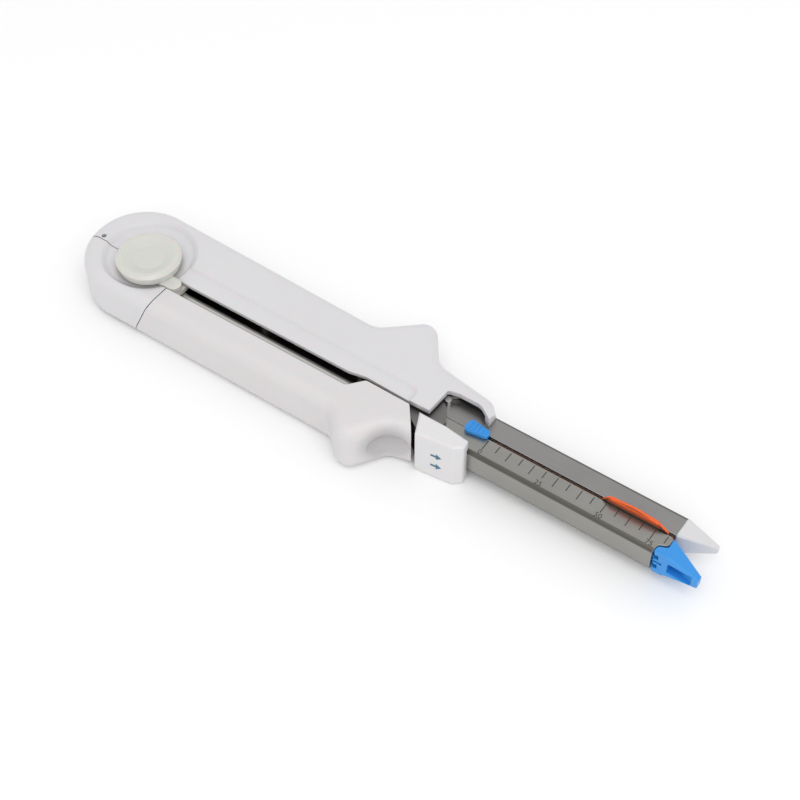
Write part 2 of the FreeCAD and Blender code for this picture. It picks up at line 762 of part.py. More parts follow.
def build_front_cover():
    """White moulded block below the channel; it holds the lever's pivot pin."""
    body = new_body("front_cover")
    pad(body, "hull", [
        ("cover_rear", "cover_top"),
        ("cover_foot_x", "cover_foot"),
        ("cover_nose_x", "cover_nose_y", "1.5"),
        ("cover_front", "-12.6", "1.5"),
        ("cover_front - 0.8", "cover_top - 1.2"),
        ("-14.5", "cover_top"),
    ], "2 * half_thick")
    half = value("half_thick")
    dress(body, "Chamfer", "rim", lambda edge, m: flat_at(edge, half), "0.7")
    pocket(body, "channel_way", [
        ("cover_rear - 5", "channel_low"),
        ("cover_front + 5", "channel_low"),
        ("cover_front + 5", "cover_top + 5"),
        ("cover_rear - 5", "cover_top + 5"),
    ], "2 * (channel_half + 0.05)")
    groove = [
        ("pivot_x + 4.5", "cover_top + 3"),
        ("cover_rear - 5", "cover_top + 3"),
        ("cover_rear - 5", "pivot_y - 3.95"),
        ("pivot_x + 2.7", "pivot_y - 3.95"),
        ("pivot_x + 4.5", "pivot_y"),
    ]
    layer_cut(body, "groove_upper", groove, "plate_inner - 0.2", "%s + 0.3" % PLATE_OUT)
    layer_cut(body, "groove_lower", groove, "-(%s) - 0.3" % PLATE_OUT, "-plate_inner + 0.2")
    bores(body, "pivot_hole", [("pivot_x", "pivot_y")], "pivot_radius", "2 * pin_depth")
    web_holes(body, "rivet_holes", COVER_RIVETS, "channel_low - 4.5", "channel_low")


def build_lever_shell():
    """White moulded locking lever, a trough with a finger wing and a round rear tongue."""
    body = new_body("lever_shell")
    pad(body, "hull", [
        ("lever_rear - 8", "slot_foot"),
        ("slot_front", "slot_foot", "2"),
        ("flap_rear", "flap_y", "2"),
        ("flap_front", "flap_y - 0.2", "1"),
        ("lever_front", "lever_front_y"),
        ("-32.6", "-19.1", "6"),
        ("lever_wing_x", "lever_wing_y", "lever_wing_round"),
        ("-56.3", "lower_side", "6"),
        ("lever_rear - 8", "lower_side"),
    ], "2 * half_thick")
    half = value("half_thick")
    low = value("slot_foot")
    dress(body, "Fillet", "rim", lambda edge, m:
          flat_at(edge, half) and m.y < low - 3.2, "edge_round")
    scoop = body.newObject("PartDesign::SubtractiveEllipsoid", "lever_shell_scoop")
    for name, size in (("Radius1", "scoop_half"), ("Radius2", "scoop_round"),
                       ("Radius3", "scoop_round"), ("Placement.Base.x", "scoop_x"),
                       ("Placement.Base.y", "scoop_y")):
        scoop.setExpression(name, cells(size))
    doc.recompute()
    end = new_sketch(body, "seam_outline", "XZ_Plane")
    outline(end, seam("0")[1:3] + [
        ("lever_rear + 12", "half_thick + 5"),
        ("lever_rear - 20", "half_thick + 5"),
        ("lever_rear - 20", "-half_thick - 5"),
        ("lever_rear + 12", "-half_thick - 5"),
        ("lever_rear + 12", "-half_thick - 0.5"),
    ])
    feature(body, "Pocket", end, "80", "seam_cut", True)
    cavity_half = "half_thick - wall"
    sketch = new_sketch(body, "cavity_outline")
    outline(sketch, [
        ("lever_rear + 10.2", "flap_y + 5"),
        ("lever_rear + 10.2", "lower_side + wall"),
        ("-57.2", "lower_side + wall", "5"),
        ("lever_wing_x - 6.0", "lever_wing_y + 7.2", "1"),
        ("lever_wing_x + 0.6", "lever_wing_y + 7.2", "1"),
        ("-34.8", "-17.2", "4"),
        ("-29.6", "-15.4"),
        ("-29.6", "-12.4"),
        ("-20", "-12.4"),
        ("-20", "flap_y + 5"),
    ])
    feature(body, "Pocket", sketch, "2 * (%s)" % cavity_half, "cavity", True)
    inner = new_sketch(body, "end_cavity_outline", "XZ_Plane", "-((lower_side + wall) + 0) / 2")
    outline(inner, [
        ("lever_rear + 11.2", "-(%s)" % INNER_HALF),
        ("lever_rear - rear_slant * (%s) + wall * 1.2" % INNER_HALF, "-(%s)" % INNER_HALF, "1"),
        ("lever_rear + rear_slant * (%s) + wall * 1.2" % INNER_HALF, INNER_HALF),
        ("lever_rear + 11.2", INNER_HALF),
    ])
    feature(body, "Pocket", inner, "-(lower_side + wall)", "end_cavity", True)
    bosses(body, "plate_boss", LEVER_RIVETS, "rivet_radius + 1.6", PLATE_OUT, INNER_HALF)
    bores(body, "rivet_hole", LEVER_RIVETS, "rivet_radius", "2 * pin_depth")


LEVER_RIVETS = [
    ("lever_rivet_rear", "lever_rivet_rear_y"),
    ("lever_rivet_front", "lever_rivet_front_y"),
]


def hook_plate_outline():
    """Steel hook plate: hub, hook with a rising lip over the latch pin, and lever end."""
    seat = "latch_radius + hook_gap"
    return [
        ("pivot_x + hub_radius", "pivot_y - hub_radius * 1.1", "hub_radius * 0.9"),
        ("-17.2", "-3.8", "2"),
        ("latch_x + 1.4", "latch_y - 3.4", "0.8"),
        ("latch_x - 0.4", "latch_y - (%s) * 1.02" % seat),
        ("latch_x - (%s) * 1.02" % seat, "latch_y - (%s)" % seat, "(%s) * 0.8" % seat),
        ("latch_x - (%s) * 1.02" % seat, "latch_y + (%s)" % seat, "(%s) * 0.8" % seat),
        ("latch_x + 0.1", "latch_y + (%s) * 1.12 + 0.25" % seat),
        ("latch_x + 2.3", "latch_y + 3.85"),
        ("latch_x + 4.2", "latch_y + 5.15"),
        ("latch_x + 4.4", "latch_y + 6.4"),
        ("latch_x - 0.8", "latch_y + 4.4", "3"),
        ("latch_x - 4.0", "latch_y + 1.2", "2"),
        ("latch_x - 4.6", "latch_y - 5", "3"),
        ("-31", "-2.6"),
        ("-44", "-4.0"),
        ("-55.4", "-13.5"),
        ("-55.4", "-20.2"),
        ("-36.4", "-18.5"),
        ("-32.4", "-8.0"),
        ("pivot_x - 0.2", "pivot_y - 3.05", "hub_radius * 0.9"),
    ]


def build_hook_plates():
    """The two steel plates that turn with the lever and pull the anvil half down."""
    for name, low in (("hook_plate_top", "plate_inner"), ("hook_plate_bottom", "-(%s)" % PLATE_OUT)):
        body = new_body(name)
        layer(body, "plate", hook_plate_outline(), low, "%s + plate_thick" % low)
        bores(body, "pivot_hole", [("pivot_x", "pivot_y")], "pivot_radius + running_gap",
              "4 * half_thick")
        bores(body, "rivet_hole", LEVER_RIVETS, "rivet_radius", "4 * half_thick")


SLIDE_PIN = ("block_front - slide_pin_back", "slide_pin_y")


def build_slide():
    """Firing slide: block in the channel, arm in the slot, knob, two cam bars and the knife."""
    block = new_body("slide_block")
    pad(block, "core", [
        ("block_rear", "channel_low + steel + bar_gap"),
        ("block_front", "channel_low + steel + bar_gap"),
        ("block_front", "block_top - 1"),
        ("block_front - 1", "block_top"),
        ("block_rear + 1", "block_top"),
        ("block_rear", "block_top - 1"),
    ], "2 * block_half")
    layer(block, "wing", [
        ("block_rear + 2", "rail_level + bar_gap"),
        ("block_front - 2", "rail_level + bar_gap"),
        ("block_front - 2", "arm_plate_y"),
        ("block_rear + 2", "arm_plate_y"),
    ], "block_half - 0.5", "arm_plate_low")
    for side, low in (("upper", "bar_inner"), ("lower", "-(bar_inner + bar_thick)")):
        layer_cut(block, "bar_slot_" + side, [
            ("block_front - bar_root", "bar_low"),
            ("block_front + 5", "bar_low"),
            ("block_front + 5", "bar_high"),
            ("block_front - bar_root", "bar_high"),
        ], low, "%s + bar_thick" % low)
    pocket(block, "knife_slot", [
        ("block_front - bar_root", "knife_low"),
        ("block_front + 5", "knife_low"),
        ("block_front + 5", "knife_back"),
        ("block_front - bar_root", "knife_back"),
    ], "2 * knife_half")
    bores(block, "pin_hole", [SLIDE_PIN], "slide_pin_radius", "2 * block_half + 2")

    for name, low in (("cam_bar_top", "bar_inner"), ("cam_bar_bottom", "-(bar_inner + bar_thick)")):
        bar = new_body(name)
        layer(bar, "bar", [
            ("block_front - bar_root", "bar_low"),
            ("bar_tip", "bar_low", "0.4"),
            ("bar_tip - 5", "bar_high", "2"),
            ("block_front - bar_root", "bar_high"),
        ], low, "%s + bar_thick" % low)
        bores(bar, "pin_hole", [SLIDE_PIN], "slide_pin_radius", "4 * block_half")

    knife = new_body("knife")
    pad(knife, "blade", [
        ("block_front - bar_root", "knife_low"),
        ("knife_tip - 0.4", "knife_low", "1"),
        ("knife_tip", "-4.4", "1"),
        ("knife_tip - 3.2", "knife_top", "0.5"),
        ("knife_tip - 6.6", "knife_top", "1"),
        ("knife_tip - 10.5", "-1.6", "2"),
        ("knife_tip - 17", "-4.0", "4"),
        ("block_front - bar_root", "knife_back"),
    ], "2 * knife_half")
    edge_start = value("knife_tip - 3.0")
    dress(knife, "Chamfer", "cutting_edge", lambda edge, m:
          flat_at(edge, value("knife_half")) and m.x > edge_start and -4 < m.y < 3.4, "0.2")
    bores(knife, "pin_hole", [SLIDE_PIN], "slide_pin_radius", "4 * block_half")

    keep(pin("slide_pin", *SLIDE_PIN, "slide_pin_radius", "block_half - 0.1"), "slide_pin")

    arm = new_body("knob_arm")
    layer(arm, "plate", [
        ("arm_rear", "slot_foot + arm_gap", "1"),
        ("arm_nose", "slot_foot + arm_gap", "1"),
        ("arm_nose", "arm_plate_y", "2"),
        ("arm_rear", "arm_plate_y", "2"),
    ], "arm_plate_low", "arm_plate_high")
    layer(arm, "neck", [
        ("arm_rear", "slot_foot + arm_gap", "2.9"),
        ("arm_nose", "slot_foot + arm_gap", "2.9"),
        ("arm_nose", "slot_top - arm_gap", "2.9"),
        ("arm_rear", "slot_top - arm_gap", "2.9"),
    ], "arm_plate_high", "half_thick + knob_lift")
    boss = new_sketch(arm, "boss_outline", level="half_thick + knob_lift")
    ring(boss, "knob_x", "knob_y", "knob_boss")
    feature(arm, "Pad", boss, "1.8", "boss", False)

    knob = new_body("firing_knob", "knob_x", "knob_y", "0")
    under = "half_thick + knob_lift"
    profile = new_sketch(knob, "profile", "XZ_Plane")
    outline(profile, [
        ("0", "%s + 1.8" % under),
        ("knob_boss + knob_fit", "%s + 1.8" % under),
        ("knob_boss + knob_fit", under),
        ("knob_radius - 0.9", under),
        ("knob_radius", "knob_top - 1.2"),
        ("knob_radius - 1.1", "knob_top"),
        ("knob_radius - 2.6", "knob_top"),
        ("knob_radius - 7.0", "knob_top - 2.0"),
        ("0", "knob_top - 2.0"),
    ])
    turn = knob.newObject("PartDesign::Revolution", "firing_knob_turn")
    turn.Profile = profile
    turn.ReferenceAxis = (profile, ["V_Axis"])
    turn.Angle = 360
    doc.recompute()


def build_bar_guide():
    """Moulded guide in the channel that keeps the cam bars and the knife apart."""
    body = new_body("bar_guide")
    pad(body, "block", [
        ("guide_rear", "channel_low + steel", "1"),
        ("guide_front", "channel_low + steel"),
        ("guide_front", "block_top"),
        ("guide_rear", "block_top", "2"),
    ], "2 * block_half")
    for side, low in (("upper", "bar_inner"), ("lower", "-(bar_inner + bar_thick)")):
        layer_cut(body, "bar_way_" + side, [
            ("guide_rear - 5", "channel_low + steel - 1"),
            ("guide_front + 5", "channel_low + steel - 1"),
            ("guide_front + 5", "bar_high + bar_gap"),
            ("guide_rear - 5", "bar_high + bar_gap"),
        ], "%s - bar_gap" % low, "%s + bar_thick + bar_gap" % low)
    pocket(body, "knife_way", [
        ("guide_rear - 5", "channel_low + steel + 1.0"),
        ("guide_front + 5", "channel_low + steel + 1.0"),
        ("guide_front + 5", "block_top + 5"),
        ("guide_rear - 5", "block_top + 5"),
    ], "2 * knife_slot_half")


def build_reload():
    """Blue reload: moulded cartridge with its nose, finger tabs, drivers and staples."""
    body = new_body("cartridge_body")
    pad(body, "core", [
        ("reload_rear", "reload_low", "0.8"),
        ("slot_end + 0.7", "reload_low"),
        ("slot_end + 0.7", "-jaw_gap"),
        ("reload_rear", "-jaw_gap", "0.8"),
    ], "2 * reload_half")
    tip_sections(body, "jaw_end + 0.4", ("reload_low - 0.8", "-jaw_gap", "channel_half", "0.6"),
                 "nose_tip", ("reload_low - 1.2", "reload_low + 1.8", "2.2", "0.5"))
    pad(body, "lugs", [
        ("web_end + 0.5", "reload_low - 0.8", "0.6"),
        ("jaw_end + 1.2", "reload_low - 0.8"),
        ("jaw_end + 1.2", "-5.2"),
        ("web_end + 0.9", "-6.9", "1"),
    ], "2 * channel_half")
    pocket(body, "nose_hollow", [
        ("jaw_end + 2.6", "reload_low - 4"),
        ("nose_tip - 2.4", "reload_low - 4"),
        ("nose_tip - 2.4", "reload_low - 0.2", "0.5"),
        ("jaw_end + 2.6", "-4.6", "0.8"),
    ], "2 * 2.6")
    for side, low in (("upper", "bar_inner"), ("lower", "-(bar_inner + bar_thick)")):
        layer_cut(body, "bar_way_" + side, [
            ("reload_rear - 5", "reload_low - 4"),
            ("slot_end - 1.5", "reload_low - 4"),
            ("slot_end - 1.5", "bar_high + bar_gap"),
            ("reload_rear - 5", "bar_high + bar_gap"),
        ], "%s - bar_gap" % low, "%s + bar_thick + bar_gap" % low)
    pocket(body, "knife_way", [
        ("reload_rear - 5", "reload_low - 4"),
        ("slot_end", "reload_low - 4"),
        ("slot_end", "1"),
        ("reload_rear - 5", "1"),
    ], "2 * knife_slot_half")
    pad(body, "tab_root", [
        ("tab_rear + 1.2", "-jaw_gap - 0.4"),
        ("tab_front - 1.2", "-jaw_gap - 0.4"),
        ("tab_front - 1.2", "jaw_gap - 0.25"),
        ("tab_rear + 1.2", "jaw_gap - 0.25"),
    ], "2 * reload_half")
    pad(body, "tab_neck", [
        ("tab_rear + 1.2", "-jaw_gap + 0.1"),
        ("tab_front - 1.2", "-jaw_gap + 0.1"),
        ("tab_front - 1.2", "jaw_gap - 0.25"),
        ("tab_rear + 1.2", "jaw_gap - 0.25"),
    ], "2 * (channel_half + 0.5)")
    pocket(body, "tab_way", [
        ("reload_rear - 5", "-jaw_gap - 2"),
        ("tab_front + 3", "-jaw_gap - 2"),
        ("tab_front + 3", "jaw_gap + 2"),
        ("reload_rear - 5", "jaw_gap + 2"),
    ], "2 * knife_slot_half")
    finger_tab = [
        ("tab_rear", "-tab_half", "1.6"),
        ("tab_front", "-tab_half + 1.6", "1.2"),
        ("tab_front", "tab_half - 1.6", "1.2"),
        ("tab_rear", "tab_half", "1.6"),
    ]
    layer(body, "tab_upper", finger_tab, "channel_half + 0.2", "channel_half + 0.2 + tab_thick")
    layer(body, "tab_lower", finger_tab, "-channel_half - 0.2 - tab_thick", "-channel_half - 0.2")
    sketch = new_sketch(body, "pocket_outline", "XZ_Plane", "(jaw_gap - bar_high) / 2")
    row_slots(sketch, "crown_length + 0.3", "pocket_width", ("0",))
    slots = feature(body, "Pocket", sketch, "-bar_high - jaw_gap + 0.2", "pockets", True)
    repeat_rows(body, "pocket_rows", slots)

    rows = []
    for row, offset in (("row_inner", 0.0), ("row_outer", value("staple_pitch") / 2)):
        for sign in (1, -1):
            for count in range(int(value("staple_count"))):
                x = value("first_staple") + offset + count * value("staple_pitch")
                rows.append(Vector(x, 0, sign * value(row)))
    low = value("bar_high + bar_gap + 0.1")
    high = low + value("driver_height")
    reach = value("crown_length") / 2
    deep = value("driver_width")
    driver = prism([
        (-reach, low + 0.45), (-reach + 0.8, low), (reach, low), (reach, high), (-reach, high),
    ], deep)
    numbered("staple_drivers", driver, rows)
    wire = value("wire")
    top = high + 0.02 + value("leg_height")
    foot = high + 0.02
    staple = prism([
        (-reach, foot), (reach, foot), (reach, top), (reach - wire, top - wire),
        (reach - wire, foot + wire), (-reach + wire, foot + wire), (-reach + wire, top - wire),
        (-reach, top),
    ], wire)
    numbered("staples", staple, rows)


def prism(points, deep):
    """A straight prism with this outline in x and y, half of its depth on either side."""
    corners = [Vector(x, y, -deep / 2) for x, y in points]
    face = Part.Face(Part.makePolygon(corners + corners[:1]))
    return face.extrude(Vector(0, 0, deep))


def numbered(name, shape, places):
    """One node with a copy of the shape at each place."""
    item = doc.addObject("Part::Feature", name)
    item.Shape = Part.makeCompound([shape.translated(spot) for spot in places])
    place(item)
    keep(item, name)


def build_retaining_cap():
    """Orange cap that covers both pairs of staple rows and leaves the knife's way open."""
    body = new_body("retaining_cap")
    sketch = new_sketch(body, "outline", "XZ_Plane")
    outline(sketch, [
        ("cap_rear", "-reload_half", "0.5"),
        ("cap_front", "-reload_half", "1"),
        ("cap_front", "reload_half", "1"),
        ("grip_front + 1", "cap_side"),
        ("grip_front", "cap_side + 1.4", "1"),
        ("grip_front - 3.5", "grip_reach - 1.2", "3"),
        ("grip_rear + 14", "grip_reach + 0.4", "12"),
        ("grip_rear + 3.0", "grip_reach - 1.0", "3"),
        ("grip_rear", "cap_side", "1"),
        ("cap_rear", "cap_side", "0.5"),
        ("cap_rear", "cap_slot_half"),
        ("cap_front - cap_bridge", "cap_slot_half"),
        ("cap_front - cap_bridge", "-cap_slot_half"),
        ("cap_rear", "-cap_slot_half"),
    ])
    feature(body, "Pad", sketch, "2 * cap_half_thick", "plate", True)
    grip = new_sketch(body, "grip_outline", "XZ_Plane")
    outline(grip, [
        ("grip_rear + 1.5", "channel_half + 0.15", "1"),
        ("grip_front - 0.5", "channel_half + 0.15", "1"),
        ("grip_front - 4.5", "grip_reach - 0.9", "3"),
        ("grip_rear + 14", "grip_reach", "12"),
        ("grip_rear + 4.0", "grip_reach - 0.8", "2"),
    ])
    feature(body, "Pad", grip, "2 * grip_half_thick", "grip", True)


build_cartridge_channel()
build_rear_housing()
build_front_cover()
build_bar_guide()
keep(pin("pivot_pin", "pivot_x", "pivot_y", "pivot_radius", "pin_depth"), "pivot_pin")
group("housing_screws", [
    post("screw_%d" % number, x, z, "rivet_radius", "channel_low - 7", "channel_low + steel + 0.4")
    for number, (x, z) in enumerate(HOUSING_SCREWS)
])
group("cover_rivets", [
    post("rivet_%d" % number, x, z, "rivet_radius", "channel_low - 4", "channel_low + steel")
    for number, (x, z) in enumerate(COVER_RIVETS)
])
build_lever_shell()
build_hook_plates()
group("lever_rivets", [
    pin("lever_rivet_%d" % number, x, y, "rivet_radius", "pin_depth")
    for number, (x, y) in enumerate(LEVER_RIVETS)
])
build_anvil_shell()
build_anvil_channel()
build_anvil_plate()
build_anvil_tip()
keep(pin("latch_pin", "latch_x", "latch_y", "latch_radius", "%s - 0.5" % INNER_HALF), "latch_pin")
keep(pin("rear_pin", "rear_pin_x", "rear_pin_y", "rear_pin_radius", "half_thick - 1"), "rear_pin")
group("anvil_pins", [
    pin("anvil_pin_%d" % number, x, y, "rivet_radius", "pin_depth")
    for number, (x, y) in enumerate(ANVIL_PINS)
])
build_slide()
build_reload()
build_retaining_cap()

doc.recompute()
for item in doc.Objects:
    if "Invalid" in item.State or "Error" in item.State:
        raise RuntimeError("%s failed: %s" % (item.Name, item.State))
for item in parts:
    if item.Shape.isNull() or not item.Shape.isValid():
        raise RuntimeError("%s has no valid shape" % item.Label)

os.makedirs("parts", exist_ok=True)
for item in parts:
    item.Shape.exportStep(os.path.join("parts", item.Label + ".step"))
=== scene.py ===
import math

import bpy
from mathutils import Matrix, Vector


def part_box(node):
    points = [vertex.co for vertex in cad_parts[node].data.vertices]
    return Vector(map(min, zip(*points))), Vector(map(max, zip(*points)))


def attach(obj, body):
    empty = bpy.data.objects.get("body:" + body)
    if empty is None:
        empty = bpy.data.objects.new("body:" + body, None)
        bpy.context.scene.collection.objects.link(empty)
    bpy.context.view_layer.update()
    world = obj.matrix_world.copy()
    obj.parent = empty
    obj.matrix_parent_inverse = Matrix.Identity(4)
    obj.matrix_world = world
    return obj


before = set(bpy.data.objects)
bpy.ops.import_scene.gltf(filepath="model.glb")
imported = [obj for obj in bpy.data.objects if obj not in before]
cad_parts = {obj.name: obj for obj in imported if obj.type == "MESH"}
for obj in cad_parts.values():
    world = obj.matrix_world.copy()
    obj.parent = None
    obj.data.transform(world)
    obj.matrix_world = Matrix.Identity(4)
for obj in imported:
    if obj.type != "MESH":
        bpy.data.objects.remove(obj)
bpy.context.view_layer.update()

# Cartridge channel. A long channel folded from stainless steel strip, polished and then brushed
# along its length. It carries the reload in the jaw and the knob's slide inside the handle.


def surface_group(name, inputs, outputs):
    """Start a shader group with named sockets and give back its nodes."""
    tree = bpy.data.node_groups.new(name, "ShaderNodeTree")
    for label, kind, value in inputs:
        socket = tree.interface.new_socket(label, in_out="INPUT", socket_type=kind)
        socket.default_value = value
    for label, kind in outputs:
        tree.interface.new_socket(label, in_out="OUTPUT", socket_type=kind)
    enter = tree.nodes.new("NodeGroupInput")
    leave = tree.nodes.new("NodeGroupOutput")
    return tree, enter, leave


def add(tree, kind, **settings):
    """Add a node with its settings."""
    node = tree.nodes.new(kind)
    for key, setting in settings.items():
        setattr(node, key, setting)
    return node


def rounded_edges():
    """Every formed or moulded edge is a little round, with a painted highlight along its crest."""
    tree, enter, leave = surface_group(
        "Rounded edges",
        [("Radius", "NodeSocketFloat", 0.0004)],
        [("Highlight mask", "NodeSocketFloat"), ("Normal", "NodeSocketVector")],
    )
    still_flat = 0.995
    fully_turned = 0.80
    bevel = add(tree, "ShaderNodeBevel", samples=6)
    flat = add(tree, "ShaderNodeNewGeometry")
    turn = add(tree, "ShaderNodeVectorMath", operation="DOT_PRODUCT")
    # Edge mask for the painted highlight along every crest.
    edge_highlight = add(tree, "ShaderNodeMapRange")
    edge_highlight.inputs["From Min"].default_value = still_flat
    edge_highlight.inputs["From Max"].default_value = fully_turned
    edge_highlight.inputs["To Min"].default_value = 0.0
    edge_highlight.inputs["To Max"].default_value = 1.0
    link = tree.links.new
    link(enter.outputs["Radius"], bevel.inputs["Radius"])
    link(bevel.outputs["Normal"], turn.inputs[0])
    link(flat.outputs["Normal"], turn.inputs[1])
    link(turn.outputs["Value"], edge_highlight.inputs["Value"])
    link(edge_highlight.outputs["Result"], leave.inputs["Highlight mask"])
    link(bevel.outputs["Normal"], leave.inputs["Normal"])
    return tree


def brushed_steel():
    """Fine belt scratches along x, a slow change of tone, and a painted dark reflection on the
    bends.
    """
    tree, enter, leave = surface_group(
        "Brushed steel",
        [
            ("Dark", "NodeSocketColor", (0.2, 0.2, 0.2, 1)),
            ("Light", "NodeSocketColor", (0.3, 0.3, 0.3, 1)),
            ("Smooth", "NodeSocketFloat", 0.25),
            ("Rough", "NodeSocketFloat", 0.4),
            ("Painted bend reflection", "NodeSocketFloat", 0.0),
        ],
        [("Colour", "NodeSocketColor"), ("Roughness", "NodeSocketFloat"),
         ("Height", "NodeSocketFloat")],
    )
    scratches_per_metre = (60, 5200, 5200)
    clouds_per_metre = 70.0
    cloud_share = 0.45
    # Bends are darkened by this tone, a painted dark reflection.
    bend_starts = 0.02
    bend_full = 0.32
    bend_reflection_tone = (0.38, 0.365, 0.34, 1)
    link = tree.links.new
    place = add(tree, "ShaderNodeTexCoord")
    stretch = add(tree, "ShaderNodeMapping")
    stretch.inputs["Scale"].default_value = scratches_per_metre
    scratches = add(tree, "ShaderNodeTexNoise")
    scratches.inputs["Scale"].default_value = 1.0
    scratches.inputs["Detail"].default_value = 3.0
    cloud = add(tree, "ShaderNodeTexNoise")
    cloud.inputs["Scale"].default_value = clouds_per_metre
    cloud.inputs["Detail"].default_value = 4.0
    both = add(tree, "ShaderNodeMix", data_type="FLOAT")
    both.inputs["Factor"].default_value = cloud_share
    tone = add(tree, "ShaderNodeMix", data_type="RGBA")
    span = add(tree, "ShaderNodeMix", data_type="FLOAT")
    split = add(tree, "ShaderNodeSeparateXYZ")
    across = add(tree, "ShaderNodeMath", operation="MULTIPLY")
    bend = add(tree, "ShaderNodeMath", operation="ABSOLUTE")
    dark_reflection_band = add(tree, "ShaderNodeMapRange", interpolation_type="SMOOTHSTEP")
    dark_reflection_band.inputs["From Min"].default_value = bend_starts
    dark_reflection_band.inputs["From Max"].default_value = bend_full
    amount = add(tree, "ShaderNodeMath", operation="MULTIPLY")
    shaded = add(tree, "ShaderNodeMix", data_type="RGBA", blend_type="MULTIPLY")
    shaded.inputs["B"].default_value = bend_reflection_tone
    link(place.outputs["Normal"], split.inputs["Vector"])
    link(split.outputs["Y"], across.inputs[0])
    link(split.outputs["Z"], across.inputs[1])
    link(across.outputs["Value"], bend.inputs[0])
    link(bend.outputs["Value"], dark_reflection_band.inputs["Value"])
    link(dark_reflection_band.outputs["Result"], amount.inputs[0])
    link(enter.outputs["Painted bend reflection"], amount.inputs[1])
    link(amount.outputs["Value"], shaded.inputs["Factor"])
    link(tone.outputs["Result"], shaded.inputs["A"])
    link(place.outputs["Object"], stretch.inputs["Vector"])
    link(stretch.outputs["Vector"], scratches.inputs["Vector"])
    link(place.outputs["Object"], cloud.inputs["Vector"])
    link(scratches.outputs["Fac"], both.inputs["A"])
    link(cloud.outputs["Fac"], both.inputs["B"])
    link(both.outputs["Result"], tone.inputs["Factor"])
    link(enter.outputs["Dark"], tone.inputs["A"])
    link(enter.outputs["Light"], tone.inputs["B"])
    link(scratches.outputs["Fac"], span.inputs["Factor"])
    link(enter.outputs["Smooth"], span.inputs["A"])
    link(enter.outputs["Rough"], span.inputs["B"])
    link(shaded.outputs["Result"], leave.inputs["Colour"])
    link(span.outputs["Result"], leave.inputs["Roughness"])
    link(scratches.outputs["Fac"], leave.inputs["Height"])
    return tree


edge_group = rounded_edges()
steel_group = brushed_steel()


def steel(name, dark, light, smooth=0.24, rough=0.42, edge=0.0003, bend_reflection=0.0):
    """A steel finish with its own tone."""
    highlight_gain = 1.5
    scratch_strength = 0.35
    scratch_depth = 0.00002
    finish = bpy.data.materials.new(name)
    finish.use_nodes = True
    tree = finish.node_tree
    shader = tree.nodes["Principled BSDF"]
    shader.inputs["Metallic"].default_value = 1.0
    grain = add(tree, "ShaderNodeGroup", node_tree=steel_group)
    grain.inputs["Dark"].default_value = (*dark, 1)
    grain.inputs["Light"].default_value = (*light, 1)
    grain.inputs["Smooth"].default_value = smooth
    grain.inputs["Rough"].default_value = rough
    grain.inputs["Painted bend reflection"].default_value = bend_reflection
    edges = add(tree, "ShaderNodeGroup", node_tree=edge_group)
    edges.inputs["Radius"].default_value = edge
    # Edges are mixed towards a lighter tone, a painted highlight.
    edge_highlight = add(tree, "ShaderNodeMix", data_type="RGBA")
    edge_highlight.inputs["B"].default_value = (*[min(1.0, tint * highlight_gain) for tint in light], 1)
    bump = add(tree, "ShaderNodeBump")
    bump.inputs["Strength"].default_value = scratch_strength
    bump.inputs["Distance"].default_value = scratch_depth
    link = tree.links.new
    link(edges.outputs["Highlight mask"], edge_highlight.inputs["Factor"])
    link(grain.outputs["Colour"], edge_highlight.inputs["A"])
    link(edge_highlight.outputs["Result"], shader.inputs["Base Color"])
    link(grain.outputs["Roughness"], shader.inputs["Roughness"])
    link(grain.outputs["Height"], bump.inputs["Height"])
    link(edges.outputs["Normal"], bump.inputs["Normal"])
    link(bump.outputs["Normal"], shader.inputs["Normal"])
    return finish


def dress(node, finish):
    """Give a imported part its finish."""
    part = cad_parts[node]
    if not part.material_slots:
        part.data.materials.append(finish)
    for slot in part.material_slots:
        slot.material = finish


def rubbed_rails(finish, lit_tone, share):
    """The rear share of a channel's length, where the slide runs, gets painted light, a brighter
    tone.
    """
    half_fade = 0.01
    tree = finish.node_tree
    shader = tree.nodes["Principled BSDF"]
    place = add(tree, "ShaderNodeTexCoord")
    split = add(tree, "ShaderNodeSeparateXYZ")
    rail = add(tree, "ShaderNodeMapRange", interpolation_type="SMOOTHSTEP")
    rail.inputs["From Min"].default_value = share + half_fade
    rail.inputs["From Max"].default_value = share - half_fade
    # Painted light: the rails deep in the slot are mixed towards a bright tone.
    rail_light = add(tree, "ShaderNodeMix", data_type="RGBA")
    rail_light.inputs["B"].default_value = (*lit_tone, 1)
    before = shader.inputs["Base Color"].links[0].from_socket
    link = tree.links.new
    link(place.outputs["Generated"], split.inputs["Vector"])
    link(split.outputs["X"], rail.inputs["Value"])
    link(rail.outputs["Result"], rail_light.inputs["Factor"])
    link(before, rail_light.inputs["A"])
    link(rail_light.outputs["Result"], shader.inputs["Base Color"])


channel_steel = steel("channel_steel", (0.25, 0.245, 0.24), (0.38, 0.375, 0.37), bend_reflection=1.0)
# Steel of the cartridge channel, with painted light on its rear rails.
rail_lit_steel = steel("rail_lit_steel", (0.265, 0.26, 0.245), (0.41, 0.405, 0.38), bend_reflection=1.0)
rail_share = 0.487
rubbed_rails(rail_lit_steel, (0.585, 0.575, 0.555), rail_share)
dress("cartridge_channel", rail_lit_steel)


# Jaw scale. Plain marks every 5 mm, longer at every 10 mm, and four numbers, from the first staple
# line to the last. They are etched dark into the side of the channel.


